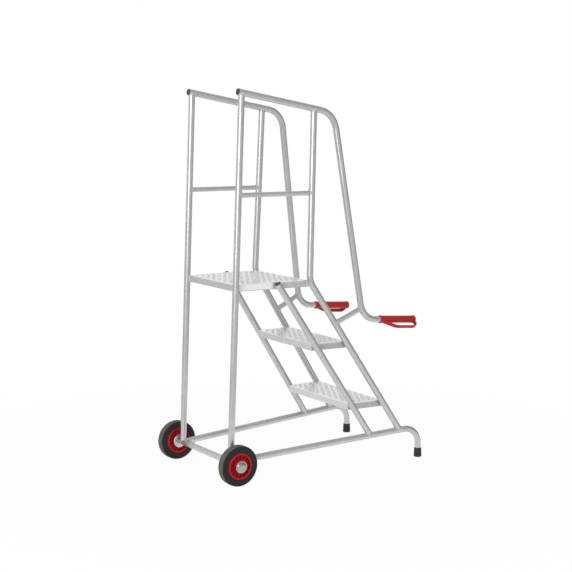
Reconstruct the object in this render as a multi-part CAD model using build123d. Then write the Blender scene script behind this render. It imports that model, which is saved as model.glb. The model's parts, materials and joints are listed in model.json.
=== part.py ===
"""Mobile loading bay steps: a welded tube frame with a platform and two treads, wheels at the dock end,
rubber feet at the climbing end and two barrow handles to lift and push it by.

Millimetres. X runs from the wheels (dock end) to the feet (climbing end), Y to the left, Z up.
The model is laid out from the floor point under the middle of the axle, then moved along X so that
the origin is the middle of its footprint.
"""
import math
import os

from build123d import *

# Tube stock. All tube ends are welded shut or plugged, so tubes are drawn solid.
TUBE_D = 30.0
MID_RAIL_D = 22.0
BRACE_D = 25.0
COPE_GAP = 0.1            # weld gap between a coped tube end and the tube that it meets
VENT_D = 8.0              # galvanising vents, drilled in the tubes
VENT_DEPTH = 3.0

# Side frame, by the middle lines of its tubes: half spacing across, and height above the floor.
# A splay is how much farther out a point is than the front post.
FRONT_HALF = 224.0
WHEEL_D = 188.0
AXLE_Z = WHEEL_D / 2
AXLE_DROP = 2.0           # axle, below the middle lines of the tubes at the corner
CORNER_Z = AXLE_Z + AXLE_DROP
FOOT_X = 1026.5
FOOT_SPLAY = 76.0
FOOT_BEND_R = 80.0
BASE_RISE = 56.5          # how much higher the base rails are at the feet than at the corner
RAIL_TOP_Z = 1767.0       # handrail above the front posts
RAIL_FALL_DEG = 10.1      # slope of the handrail, down to the climbing end
RAIL_OVERHANG = 18.0      # handrail past the front posts
POST_LEAN_DEG = 1.8       # front and rear posts, back from upright
REAR_POST_X = 416.0
REAR_SPLAY = 16.0         # where the rear post bends into its stringer
REAR_BEND_Z = 902.5
REAR_BEND_R = 90.0
REAR_VENT_DROP = 32.0     # vent, below the handrail
STRINGER_FOOT_X = 916.5   # where the rear stringer meets the base rail
STRINGER_RUN = 167.0      # along X, from front stringer to rear stringer
STRINGER_TOP_DROP = 7.0   # end of the front stringer, below the platform
MID_RAIL_Z = 1312.0
POST_VENT_RISE = 93.0     # vent in the front post, above the corner

# Handrail leg, handle and brace
LEG_TOP_X = 553.0
LEG_BEND_R = 105.0
LEG_FOOT_X = 700.0
LEG_SPLAY = 48.5
LEG_VENT_RISE = 103.0     # vent, above the corner of leg and handle
HANDLE_Z = 706.0
HANDLE_BEND_R = 90.0
HANDLE_END_X = 1000.0
HANDLE_SPLAY = 53.5
HANDLE_FALL = 22.5
BRACE_DROP = 206.0        # brace foot, below the bend of the rear post
BRACE_RISE = 53.0         # brace top, above the corner of leg and handle
BRACE_SINK = 5.0          # past the middle line of the leg, before coping

# Platform and treads, folded from sheet, open below, with staggered punchings drawn eight-sided
SHEET = 3.0
SKIRT = 32.0
PLATFORM_Z = 907.5
UPPER_TREAD_Z = 605.0
LOWER_TREAD_Z = 302.5
PLATFORM_INSET = 5.0      # platform ends, in from the middle lines of the posts
TREAD_REACH = 8.0         # tread ends, out from the middle lines of the stringers
JOINT_GAP = 0.6           # between a tray and the tubes that it is welded to
PUNCH_D = 15.0
PUNCH_PITCH = 30.0        # from hole to hole, along X
PUNCH_MARGIN = 11.0       # whole sheet left round the edge
PUNCH_SIDES = 8

# Wheels
TYRE_W = 46.0
TYRE_WALL = 33.0          # tyre, from bead to running face
TYRE_BEAD_R = WHEEL_D / 2 - TYRE_WALL
WHEEL_GAP = 25.5          # between the base rail and the tyre at the axle
TYRE_SHOULDER = 6.0
RIM_LIP_W = 6.0
RIM_RECESS = 10.0
HUB_R = 30.0
HUB_PROUD = 8.0
RIB_COUNT = 14
RIB_T = 3.5
RIB_DROP = 3.0            # ribs, below the lip
AXLE_D = 16.0
AXLE_RUN = 0.08           # running gap round the axle
COLLAR_D = 24.0
COLLAR_GAP = 0.5
CAP_R = 28.5
CAP_H = 11.0
CAP_RIM_H = 2.5
SHIELD_T = 5.0
SHIELD_FLAT_R = 15.0

# Rubber feet, grips and plugs
FERRULE_TOP_D = 35.0
FERRULE_FOOT_D = 39.0
FERRULE_H = 46.0
FERRULE_FLOOR = 8.0
FERRULE_EDGE = 4.0
GRIP_D = 35.0
GRIP_L = 210.0
GRIP_END_WALL = 5.0
GRIP_BEAD_D = 38.5
GRIP_BEAD_L = 7.0
GRIP_FLARE_L = 14.0
GUARD_T = 5.5
GUARD_W = 20.0
GUARD_REACH = 45.0        # middle of the hand guard from the middle of the grip
GUARD_RAMP_L = 80.0       # from the bead to where the guard is full out
GUARD_HEEL_L = 14.0       # from there to the closed end
GUARD_TILT_DEG = 45.0     # below straight outwards
PLUG_H = 3.0
PLUG_EDGE = 1.2

# What follows from those sizes
TUBE_R = TUBE_D / 2
RAIL_FALL = math.tan(math.radians(RAIL_FALL_DEG))
POST_LEAN = math.tan(math.radians(POST_LEAN_DEG))
WHEEL_Y = FRONT_HALF + TUBE_R + WHEEL_GAP + TYRE_W / 2
HUB_FACE = TYRE_W / 2 + HUB_PROUD
FOOTPRINT_SHIFT = -(FOOT_X + FERRULE_FOOT_D / 2 - WHEEL_D / 2) / 2
BACK = Vector(1, 0, 0)
UP = Vector(0, 0, 1)


def post_point(z, side):
    """Point of the front post's middle line at height z."""
    return Vector(POST_LEAN * (z - CORNER_Z), side * FRONT_HALF, z)


def rail_z(x):
    """Height of the handrail's middle line over the platform."""
    return RAIL_TOP_Z - RAIL_FALL * (x - post_point(RAIL_TOP_Z, 1).X)


def base_point(x, side):
    """Point of the base rail's middle line at distance x from the axle."""
    share = x / FOOT_X
    return Vector(x, side * (FRONT_HALF + share * FOOT_SPLAY), CORNER_Z + share * BASE_RISE)


def at_height(a, b, z):
    """Point on the line from a to b at height z."""
    return a + (b - a) * ((z - a.Z) / (b.Z - a.Z))


def bar(points, diameter, bends=()):
    """Round bar along straight runs, with one bend radius for each corner."""
    path = FilletPolyline(*points, radius=list(bends)) if bends else Line(*points)
    section = Plane(path @ 0, z_dir=path % 0) * Circle(diameter / 2)
    return sweep(section, path=path)


def vent(at, diameter, direction):
    """Cutter for a vent in a tube of that diameter, drilled against direction."""
    skin = Plane(at + direction * (diameter / 2), z_dir=direction)
    return skin.location * Cylinder(VENT_D / 2, 2 * VENT_DEPTH)


def mitre(corner, own, others):
    """The share of a three-way mitred corner that belongs to the tube leaving along own: the space where the
    distance along own is larger than along each of the other two directions."""
    reach = 2 * RAIL_TOP_Z
    space = None
    for other in others:
        normal = (own - other).normalized()
        half = Plane(corner + normal * (reach / 2), z_dir=normal) * Box(2 * reach, 2 * reach, reach)
        space = half if space is None else space & half
    return space


def rail_points(side):
    """Corner points of the handrail: front end, top of the leg, foot of the leg, end of the handle."""
    front_x = post_point(RAIL_TOP_Z, side).X - RAIL_OVERHANG
    front = Vector(front_x, side * FRONT_HALF, rail_z(front_x))
    top = Vector(LEG_TOP_X, side * FRONT_HALF, rail_z(LEG_TOP_X))
    foot = Vector(LEG_FOOT_X, side * (FRONT_HALF + LEG_SPLAY), HANDLE_Z)
    end = Vector(HANDLE_END_X, side * (FRONT_HALF + HANDLE_SPLAY), HANDLE_Z - HANDLE_FALL)
    return front, top, foot, end


def rear_points(side):
    """Corner points of the rear post and its stringer, from the handrail to the base rail."""
    rise = (rail_z(REAR_POST_X) - REAR_BEND_Z) / (1 + RAIL_FALL * POST_LEAN)
    top = Vector(REAR_POST_X + POST_LEAN * rise, side * FRONT_HALF, REAR_BEND_Z + rise)
    bend = Vector(REAR_POST_X, side * (FRONT_HALF + REAR_SPLAY), REAR_BEND_Z)
    return top, bend, base_point(STRINGER_FOOT_X, side)


def platform_half(x):
    """Distance of the tubes' middle lines from the middle plane, along the platform's edge."""
    front_x = post_point(PLATFORM_Z, 1).X
    return FRONT_HALF + REAR_SPLAY * (x - front_x) / (REAR_POST_X - front_x)


def stringer_points(side):
    """Ends of the front stringer, beside the platform and on the base rail, parallel to the rear one as seen
    from the side."""
    _, bend, rear_foot = rear_points(side)
    foot = base_point(STRINGER_FOOT_X - STRINGER_RUN, side)
    top_x = foot.X - (PLATFORM_Z - foot.Z) * (rear_foot.X - bend.X) / (bend.Z - rear_foot.Z)
    top = Vector(top_x, side * platform_half(top_x), PLATFORM_Z)
    return at_height(top, foot, PLATFORM_Z - STRINGER_TOP_DROP), foot


def axle():
    """Axle rod with a collar against each base rail, which keeps the wheel off the frame."""
    collar_in = FRONT_HALF + TUBE_R
    collar_out = WHEEL_Y - HUB_FACE - SHIELD_T - COLLAR_GAP
    rod = Cylinder(AXLE_D / 2, 2 * (WHEEL_Y + TYRE_W / 2))
    ring = Cylinder(COLLAR_D / 2, collar_out - collar_in)
    middle = (collar_in + collar_out) / 2
    whole = rod + Pos(0, 0, middle) * ring + Pos(0, 0, -middle) * ring
    return Pos(0, 0, AXLE_Z) * Rot(90, 0, 0) * whole


def base_points(side):
    """Corner points of the base rail, from before the axle to the foot."""
    knee = base_point(FOOT_X, side)
    return base_point(-TUBE_D, side), knee, Vector(FOOT_X, knee.Y, FERRULE_FLOOR)


def corner_tubes(side, rail_cope, rod):
    """Front post and base rail with their shares of the mitred corner at the axle."""
    corner = Vector(0, side * FRONT_HALF, CORNER_Z)
    inward = Vector(0, -side, 0)
    post = bar((post_point(CORNER_Z - TUBE_D, side), post_point(RAIL_TOP_Z, side)), TUBE_D)
    post = (post & mitre(corner, UP, (BACK, inward))) - rail_cope - rod
    post = post - vent(post_point(CORNER_Z + POST_VENT_RISE, side), TUBE_D, -inward)
    base = bar(base_points(side), TUBE_D, (FOOT_BEND_R,))
    base = (base & mitre(corner, BACK, (UP, inward))) - rod
    return post, base


def cross_tube(rod):
    """Tube between the two mitred corners, round the axle."""
    tube = Pos(0, 0, CORNER_Z) * Rot(90, 0, 0) * Cylinder(TUBE_R, 2 * (FRONT_HALF + TUBE_D))
    for side in (1, -1):
        corner = Vector(0, side * FRONT_HALF, CORNER_Z)
        tube = tube & mitre(corner, Vector(0, -side, 0), (UP, BACK))
    return tube - rod


def punchings(front_x, front_half, rear_x, rear_half):
    """Middles of the punchings: staggered rows along X, whole holes only, centred on the sheet."""
    keep = PUNCH_MARGIN + PUNCH_D / 2
    row_y = PUNCH_PITCH * math.sin(math.radians(60))
    middle_x = (front_x + rear_x) / 2
    rows = int(max(front_half, rear_half) / row_y)
    columns = int((rear_x - front_x) / PUNCH_PITCH)
    spots = []
    for row in range(-rows, rows + 1):
        stagger = PUNCH_PITCH / 2 if row % 2 else 0
        for column in range(-columns, columns + 1):
            x = middle_x + column * PUNCH_PITCH + stagger
            y = row * row_y
            share = (x - front_x) / (rear_x - front_x)
            half = front_half + share * (rear_half - front_half)
            if front_x + keep <= x <= rear_x - keep and abs(y) <= half - keep:
                spots.append((x, y))
    return spots


def tray(front_x, front_half, rear_x, rear_half, top_z):
    """Punched sheet tray with folded skirts, open below, between the inner faces of the tubes that it is
    welded to. The half widths are those of the tubes' middle lines."""
    front_half = front_half - TUBE_R - JOINT_GAP
    rear_half = rear_half - TUBE_R - JOINT_GAP
    outline = Polyline((front_x, -front_half), (rear_x, -rear_half), (rear_x, rear_half),
                       (front_x, front_half), close=True)
    outer = make_face(outline)
    inner = offset(outer, -SHEET, kind=Kind.INTERSECTION)
    hole = RegularPolygon(PUNCH_D / 2, PUNCH_SIDES).face().outer_wire()
    holes = [Pos(x, y) * hole for x, y in punchings(front_x, front_half, rear_x, rear_half)]
    plate = extrude(Face(outer.face().outer_wire(), holes), -SHEET)
    skirt = extrude(outer - inner, -SKIRT)
    return Pos(0, 0, top_z) * (plate + skirt)


def ferrule(side, base):
    """Rubber foot pushed on to the end of the base rail, with a chamfered lower edge."""
    foot_r = FERRULE_FOOT_D / 2
    half = make_face(Polyline((0, 0), (foot_r - FERRULE_EDGE, 0), (foot_r, FERRULE_EDGE),
                              (FERRULE_TOP_D / 2, FERRULE_H), (0, FERRULE_H), close=True))
    body = revolve(Plane.XZ * half, Axis.Z)
    return Pos(FOOT_X, base_point(FOOT_X, side).Y, 0) * body - base


def grip(side, rail):
    """Moulded grip on the end of the handle: a sleeve with a bead at its mouth, a flared closed end, and a
    hand guard on the outer and lower side."""
    _, _, foot, end = rail_points(side)
    along = (end - foot).normalized()
    start = end + along * (GRIP_END_WALL - GRIP_L)
    tilt = math.radians(GUARD_TILT_DEG)
    out = Vector(0, side * math.cos(tilt), -math.sin(tilt))
    frame = Plane(start, x_dir=along, z_dir=along.cross(out))
    sleeve_r = GRIP_D / 2
    bead_r = GRIP_BEAD_D / 2
    half = make_face(Polyline((0, 0), (0, bead_r), (GRIP_BEAD_L, bead_r), (3 * GRIP_BEAD_L / 2, sleeve_r),
                              (GRIP_L - GRIP_FLARE_L, sleeve_r), (GRIP_L - GRIP_END_WALL, bead_r),
                              (GRIP_L, bead_r - GRIP_END_WALL / 2), (GRIP_L, 0), close=True))
    sleeve = revolve(half, Axis.X)
    inside = sleeve_r - GUARD_T
    ramp_end = GRIP_BEAD_L + GUARD_RAMP_L
    heel = GRIP_L - GUARD_T / 2
    line = Polyline((2 * GRIP_BEAD_L, inside), (ramp_end, GUARD_REACH), (heel - GUARD_HEEL_L, GUARD_REACH),
                    (heel, GUARD_REACH - GUARD_HEEL_L), (heel - GUARD_T, inside))
    strap = trace(line, line_width=GUARD_T)
    guard = Pos(0, 0, -GUARD_W / 2) * extrude(strap, GUARD_W)
    return frame.location * (sleeve + guard) - rail


def plug(at, direction):
    """Plastic insert that closes an open tube end, seen as a low disc."""
    disc = Pos(0, 0, PLUG_H / 2) * Cylinder(TUBE_R, PLUG_H)
    disc = chamfer(disc.edges().sort_by(Axis.Z)[-1], PLUG_EDGE)
    return Plane(at, z_dir=direction).location * disc


def wheel_centre():
    """Moulded wheel centre about the Z axis: rim with a lip on both faces, web, hub and ribs."""
    lip_inner = TYRE_BEAD_R - RIM_LIP_W
    rim = Cylinder(TYRE_BEAD_R, TYRE_W) - Cylinder(lip_inner, TYRE_W)
    web = Cylinder(lip_inner, TYRE_W - 2 * RIM_RECESS)
    hub = Cylinder(HUB_R, 2 * HUB_FACE)
    rib = Box(lip_inner - HUB_R + RIB_T, RIB_T, TYRE_W - 2 * RIB_DROP)
    rib = Pos((lip_inner + HUB_R) / 2, 0, 0) * rib
    body = rim + web + hub + [spoke * rib for spoke in PolarLocations(0, RIB_COUNT)]
    return body - Cylinder(AXLE_D / 2 + AXLE_RUN, 2 * TYRE_W)


def tyre():
    """Solid rubber tyre about the Z axis, with a low crown and bevelled shoulders."""
    half_w = TYRE_W / 2
    outer_r = WHEEL_D / 2
    shoulder = TYRE_SHOULDER
    crown_r = outer_r - shoulder / 3
    half = make_face(Polyline((TYRE_BEAD_R, 0), (outer_r, 0), (outer_r, half_w - 2 * shoulder),
                              (crown_r, half_w - 2 * shoulder / 3), (outer_r - shoulder, half_w),
                              (TYRE_BEAD_R, half_w), close=True))
    profile = half + mirror(half, Plane.XZ)
    return revolve(Plane.XZ * profile, Axis.Z)


def hub_cap():
    """Pressed dome on the outer hub face, about the Z axis."""
    dome_h = CAP_H - CAP_RIM_H
    dome_r = (CAP_R ** 2 + dome_h ** 2) / (2 * dome_h)
    disc = Pos(0, 0, HUB_FACE + CAP_H / 2) * Cylinder(CAP_R, CAP_H)
    return disc & Pos(0, 0, HUB_FACE + CAP_H - dome_r) * Sphere(dome_r)


def hub_shield():
    """Pressed dish on the inner hub face, about the Z axis, open for the axle."""
    hole_r = AXLE_D / 2 + COLLAR_GAP
    back = -HUB_FACE - SHIELD_T
    half = make_face(Polyline((hole_r, -HUB_FACE), (CAP_R, -HUB_FACE), (CAP_R, back + 3 * SHIELD_T / 4),
                              (SHIELD_FLAT_R, back), (hole_r, back), close=True))
    return revolve(Plane.XZ * half, Axis.Z)


def build():
    """All pieces by node name, laid out from the axle."""
    pieces = {}
    cope_d = TUBE_D + 2 * COPE_GAP
    rod = axle()
    pieces["axle"] = rod
    pieces["cross_tube"] = cross_tube(rod)
    for word, side in (("left", 1), ("right", -1)):
        rail_line = rail_points(side)
        rail = bar(rail_line, TUBE_D, (LEG_BEND_R, HANDLE_BEND_R))
        rail_cope = bar(rail_line, cope_d, (LEG_BEND_R, HANDLE_BEND_R))
        base_cope = bar(base_points(side), cope_d, (FOOT_BEND_R,))
        post, base = corner_tubes(side, rail_cope, rod)
        rear_line = rear_points(side)
        rear_post = bar(rear_line, TUBE_D, (REAR_BEND_R,)) - rail_cope - base_cope
        rear_cope = bar(rear_line, cope_d, (REAR_BEND_R,))
        post_cope = bar((post_point(CORNER_Z, side), post_point(RAIL_TOP_Z, side)), cope_d)
        front_top, front_foot = stringer_points(side)
        mid_ends = (post_point(MID_RAIL_Z, side), at_height(rear_line[0], rear_line[1], MID_RAIL_Z))
        brace_foot = at_height(rear_line[1], rear_line[2], REAR_BEND_Z - BRACE_DROP)
        brace_top = at_height(rail_line[1], rail_line[2], HANDLE_Z + BRACE_RISE)
        brace_top = brace_top + (brace_top - brace_foot).normalized() * BRACE_SINK
        leg_vent = at_height(rail_line[1], rail_line[2], HANDLE_Z + LEG_VENT_RISE)
        rear_vent = at_height(rear_line[0], rear_line[1], rear_line[0].Z - REAR_VENT_DROP)
        pieces[f"front_post_{word}"] = post
        pieces[f"base_rail_{word}"] = base
        pieces[f"mid_rail_{word}"] = bar(mid_ends, MID_RAIL_D) - post_cope - rear_cope
        pieces[f"brace_{word}"] = bar((brace_foot, brace_top), BRACE_D) - rear_cope - rail_cope
        pieces[f"front_stringer_{word}"] = bar((front_top, front_foot), TUBE_D) - base_cope
        pieces[f"handrail_{word}"] = rail - vent(leg_vent, TUBE_D, -BACK)
        pieces[f"rear_post_{word}"] = rear_post - vent(rear_vent, TUBE_D, -BACK)
        pieces[f"foot_{word}"] = ferrule(side, base)
        pieces[f"grip_{word}"] = grip(side, rail)
        pieces[f"rail_plug_{word}"] = plug(rail_line[0], rail_line[0] - rail_line[1])
        pieces[f"stringer_plug_{word}"] = plug(front_top, front_top - front_foot)
        turn = Pos(0, side * WHEEL_Y, AXLE_Z) * Rot(-90 * side, 0, 0)
        pieces[f"wheel_centre_{word}"] = turn * wheel_centre()
        pieces[f"tyre_{word}"] = turn * tyre()
        pieces[f"hub_cap_{word}"] = turn * hub_cap()
        pieces[f"hub_shield_{word}"] = turn * hub_shield()
    platform_front = post_point(PLATFORM_Z, 1).X + PLATFORM_INSET
    platform_rear = REAR_POST_X - PLATFORM_INSET
    pieces["platform"] = tray(platform_front, platform_half(platform_front), platform_rear,
                              platform_half(platform_rear), PLATFORM_Z)
    for node, top_z in (("tread_upper", UPPER_TREAD_Z), ("tread_lower", LOWER_TREAD_Z)):
        front = at_height(*stringer_points(1), top_z)
        rear = at_height(*rear_points(1)[1:], top_z)
        pieces[node] = tray(front.X - TREAD_REACH, front.Y, rear.X + TREAD_REACH, rear.Y, top_z)
    return pieces


os.makedirs("parts", exist_ok=True)
for node, piece in build().items():
    export_step(Pos(FOOTPRINT_SHIFT, 0, 0) * piece, f"parts/{node}.step")
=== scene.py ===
"""Finish and small forms of mobile loading bay steps, laid out as an add-on and run as a script.

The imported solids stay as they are. This file gives each of them its finish, and adds what they leave out:
weld beads, pressed rims round the tread punchings, rounded tyres, moulded wheel centres, hub caps and hub
shields, grips, feet and plugs, a blank label, and the studio. Metres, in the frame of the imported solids:
X from the wheels to the feet, Y to the left, Z up.
"""
import json
import math

import bmesh
import bpy
import numpy as np
from bpy.props import FloatProperty, FloatVectorProperty, IntProperty, PointerProperty
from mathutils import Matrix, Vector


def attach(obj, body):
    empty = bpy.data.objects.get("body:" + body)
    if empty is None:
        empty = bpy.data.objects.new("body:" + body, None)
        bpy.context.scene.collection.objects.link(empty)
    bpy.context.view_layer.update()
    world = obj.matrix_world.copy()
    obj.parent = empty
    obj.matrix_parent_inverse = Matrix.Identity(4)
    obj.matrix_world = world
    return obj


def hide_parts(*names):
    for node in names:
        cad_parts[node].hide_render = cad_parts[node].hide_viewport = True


bl_info = {
    "name": "Loading bay steps",
    "version": (1, 0, 0),
    "blender": (4, 5, 0),
    "location": "View3D > Sidebar > Steps",
    "description": "Finishes, welds and moulded details for mobile loading bay steps",
    "category": "Object",
}

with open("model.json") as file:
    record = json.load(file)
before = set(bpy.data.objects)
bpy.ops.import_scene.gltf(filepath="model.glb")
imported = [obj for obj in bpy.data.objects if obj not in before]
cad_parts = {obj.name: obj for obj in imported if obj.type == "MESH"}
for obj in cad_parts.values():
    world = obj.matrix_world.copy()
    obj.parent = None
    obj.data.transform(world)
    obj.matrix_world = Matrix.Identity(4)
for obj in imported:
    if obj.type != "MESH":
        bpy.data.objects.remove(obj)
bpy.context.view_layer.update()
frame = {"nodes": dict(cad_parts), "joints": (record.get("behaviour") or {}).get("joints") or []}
FRAME_BODY = "frame"
SIDES = (("left", 1), ("right", -1))
WHEEL_AT = {joint["child"]: np.array(joint["pos_m"]) for joint in frame["joints"]}
AXLE_X, _, AXLE_Z = WHEEL_AT["wheel_left"]
X_AXIS, Y_AXIS, Z_AXIS = np.eye(3)
NEARLY_ALONG = 0.9
MERGE_DISTANCE = 1e-6

# Middle lines of the tubes, X from the axle
TUBE_R = 0.015
MID_RAIL_R = 0.011
BRACE_R = 0.0125
FRONT_HALF = 0.224
AXLE_DROP = 0.002
CORNER_Z = AXLE_Z + AXLE_DROP
POST_LEAN = math.tan(math.radians(1.8))
RAIL_TOP_Z = 1.767
RAIL_FALL = math.tan(math.radians(10.1))
RAIL_OVERHANG = 0.018
REAR_POST_X = 0.416
REAR_SPLAY = 0.016
REAR_BEND_Z = 0.9025
REAR_BEND_R = 0.090
FOOT_X = 1.0265
FOOT_SPLAY = 0.076
BASE_RISE = 0.0565
STRINGER_FOOT_X = 0.9165
STRINGER_RUN = 0.167
STRINGER_TOP_DROP = 0.007
MID_RAIL_Z = 1.312
LEG_TOP_X = 0.553
LEG_BEND_R = 0.105
LEG_FOOT_X = 0.700
LEG_SPLAY = 0.0485
HANDLE_Z = 0.706
HANDLE_BEND_R = 0.090
HANDLE_END_X = 1.000
HANDLE_SPLAY = 0.0535
HANDLE_FALL = 0.0225
BRACE_DROP = 0.206
BRACE_RISE = 0.053

# Sheet trays
SKIRT = 0.032
PLATFORM_Z = 0.9075
UPPER_TREAD_Z = 0.605
LOWER_TREAD_Z = 0.3025
PLATFORM_INSET = 0.005
TREAD_REACH = 0.008
JOINT_GAP = 0.0006
PUNCH_R = 0.0075
PUNCH_PITCH = 0.030
PUNCH_MARGIN = 0.011

# Wheels, feet, grips and plugs
TYRE_R = 0.094
TYRE_HALF_W = 0.023
BEAD_SEAT_R = 0.061
RIM_LIP_W = 0.0095
RIM_RECESS = 0.0135
RIB_COUNT = 14
RIB_T = 0.0022
RIB_RISE = 0.0105
HUB_R = 0.030
HUB_FACE = TYRE_HALF_W + 0.008
BORE_R = 0.00808
CAP_R = 0.0285
CAP_H = 0.011
CAP_DOME_R = 0.0225
SHIELD_R = 0.0325
SHIELD_T = 0.005
SHIELD_FLAT_R = 0.013
SHIELD_HOLE_R = 0.0085
FOOT_TOP_R = 0.0175
FOOT_SOLE_R = 0.0195
FOOT_H = 0.046
GRIP_R = 0.0175
GRIP_L = 0.210
GRIP_END_WALL = 0.005
GRIP_BEAD_R = 0.01925
GRIP_BEAD_L = 0.007
GRIP_FLARE_L = 0.014
GUARD_T = 0.0055
GUARD_W = 0.020
GUARD_REACH = 0.045
GUARD_RAMP_L = 0.080
GUARD_HEEL_L = 0.014
GUARD_TILT = math.radians(45)
PLUG_H = 0.003

# Camera, as the view that the object is shown in
CAMERA_AT = (-3.6222, -5.4873, 1.7206)
CAMERA_TURN_DEG = (82.448, -0.398, -33.122)
CAMERA_LENS_MM = 86.72
CAMERA_SENSOR_MM = 36.0


def unit(vector):
    """The vector, or each row of an array, scaled to length one."""
    return vector / np.linalg.norm(vector, axis=-1, keepdims=True)


def spot(x, side, half, z):
    """Point at distance x from the axle, half across from the middle plane and height z."""
    return np.array((AXLE_X + x, side * half, z))


def at_height(a, b, z):
    """Point on the line from a to b at height z."""
    return a + (b - a) * ((z - a[2]) / (b[2] - a[2]))


def post_point(z, side):
    """Point of the front post's middle line at height z."""
    return spot(POST_LEAN * (z - CORNER_Z), side, FRONT_HALF, z)


def base_point(x, side):
    """Point of the base rail's middle line at distance x from the axle."""
    share = x / FOOT_X
    return spot(x, side, FRONT_HALF + share * FOOT_SPLAY, CORNER_Z + share * BASE_RISE)


def rail_z(x):
    """Height of the handrail's middle line at distance x from the axle."""
    return RAIL_TOP_Z - RAIL_FALL * (x - POST_LEAN * (RAIL_TOP_Z - CORNER_Z))


def platform_half(x):
    """Half spacing of the tubes along the platform's edge, at distance x from the axle."""
    front_x = POST_LEAN * (PLATFORM_Z - CORNER_Z)
    return FRONT_HALF + REAR_SPLAY * (x - front_x) / (REAR_POST_X - front_x)


def tube_corners(side):
    """Corner points of one side's middle lines, by the name of the tube."""
    front_x = POST_LEAN * (RAIL_TOP_Z - CORNER_Z) - RAIL_OVERHANG
    handrail = np.array((spot(front_x, side, FRONT_HALF, rail_z(front_x)),
                         spot(LEG_TOP_X, side, FRONT_HALF, rail_z(LEG_TOP_X)),
                         spot(LEG_FOOT_X, side, FRONT_HALF + LEG_SPLAY, HANDLE_Z),
                         spot(HANDLE_END_X, side, FRONT_HALF + HANDLE_SPLAY, HANDLE_Z - HANDLE_FALL)))
    rise = (rail_z(REAR_POST_X) - REAR_BEND_Z) / (1 + RAIL_FALL * POST_LEAN)
    rear = np.array((spot(REAR_POST_X + POST_LEAN * rise, side, FRONT_HALF, REAR_BEND_Z + rise),
                     spot(REAR_POST_X, side, FRONT_HALF + REAR_SPLAY, REAR_BEND_Z),
                     base_point(STRINGER_FOOT_X, side)))
    front_foot = base_point(STRINGER_FOOT_X - STRINGER_RUN, side)
    slope = (rear[2] - rear[1])[0] / (rear[1] - rear[2])[2]
    top_x = front_foot[0] - AXLE_X - (PLATFORM_Z - front_foot[2]) * slope
    front_top = at_height(spot(top_x, side, platform_half(top_x), PLATFORM_Z), front_foot,
                          PLATFORM_Z - STRINGER_TOP_DROP)
    return {
        "handrail": handrail,
        "rear_post": rear,
        "front_post": np.array((post_point(CORNER_Z, side), post_point(RAIL_TOP_Z, side))),
        "base_rail": np.array((base_point(0, side), base_point(FOOT_X, side))),
        "front_stringer": np.array((front_top, front_foot)),
        "mid_rail": np.array((post_point(MID_RAIL_Z, side), at_height(rear[0], rear[1], MID_RAIL_Z))),
        "brace": np.array((at_height(rear[1], rear[2], REAR_BEND_Z - BRACE_DROP),
                           at_height(handrail[1], handrail[2], HANDLE_Z + BRACE_RISE))),
    }


def tray_shapes():
    """Front X, front half width, rear X, rear half width and height of each sheet tray, X from the axle."""
    lines = tube_corners(1)
    edge = TUBE_R + JOINT_GAP
    front_x = POST_LEAN * (PLATFORM_Z - CORNER_Z) + PLATFORM_INSET
    rear_x = REAR_POST_X - PLATFORM_INSET
    shapes = {"platform": (front_x, platform_half(front_x) - edge,
                           rear_x, platform_half(rear_x) - edge, PLATFORM_Z)}
    for node, top_z in (("tread_upper", UPPER_TREAD_Z), ("tread_lower", LOWER_TREAD_Z)):
        front = at_height(*lines["front_stringer"], top_z)
        rear = at_height(*lines["rear_post"][1:], top_z)
        shapes[node] = (front[0] - AXLE_X - TREAD_REACH, front[1] - edge,
                        rear[0] - AXLE_X + TREAD_REACH, rear[1] - edge, top_z)
    return shapes


def tray_half(x, front_x, front_half, rear_x, rear_half):
    """Half width of a sheet tray at distance x from the axle."""
    return front_half + (rear_half - front_half) * (x - front_x) / (rear_x - front_x)


def rounded(points, bends, arc_steps=24):
    """A line of straight runs with each inner corner replaced by an arc. The arc of radius r at a corner of
    turn t starts r tan(t/2) before it, and its points are start + r sin(a) along + r (1 - cos(a)) inward."""
    pieces = [points[:1]]
    for before, corner, after, radius in zip(points[:-2], points[1:-1], points[2:], bends):
        along = unit(corner - before)
        onward = unit(after - corner)
        turn = math.acos(float(np.clip(along @ onward, -1, 1)))
        inward = unit(onward - along * (along @ onward))
        start = corner - along * radius * math.tan(turn / 2)
        angle = np.linspace(0, turn, arc_steps)[:, None]
        pieces.append(start + radius * (np.sin(angle) * along + (1 - np.cos(angle)) * inward))
    pieces.append(points[-1:])
    return np.concatenate(pieces)


def even_steps(line, step):
    """The same line with its points about one step apart, by linear interpolation on its length."""
    length = np.concatenate(((0.0,), np.cumsum(np.linalg.norm(np.diff(line, axis=0), axis=1))))
    count = max(int(round(length[-1] / step)), 1) + 1
    wanted = np.linspace(0, length[-1], count)
    return np.stack([np.interp(wanted, length, line[:, axis]) for axis in range(3)], axis=1)


def grid_faces(rows, columns, wrap_rows, wrap_columns, first):
    """Corner indices of the quads of a grid of points, wrapped round where the surface closes."""
    row = np.arange(rows if wrap_rows else rows - 1)[:, None]
    column = np.arange(columns if wrap_columns else columns - 1)[None, :]
    next_row = (row + 1) % rows
    next_column = (column + 1) % columns
    corners = (row * columns + column, next_row * columns + column,
               next_row * columns + next_column, row * columns + next_column)
    return first + np.stack([np.broadcast_to(c, corners[0].shape).ravel() for c in corners], axis=1)


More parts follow.
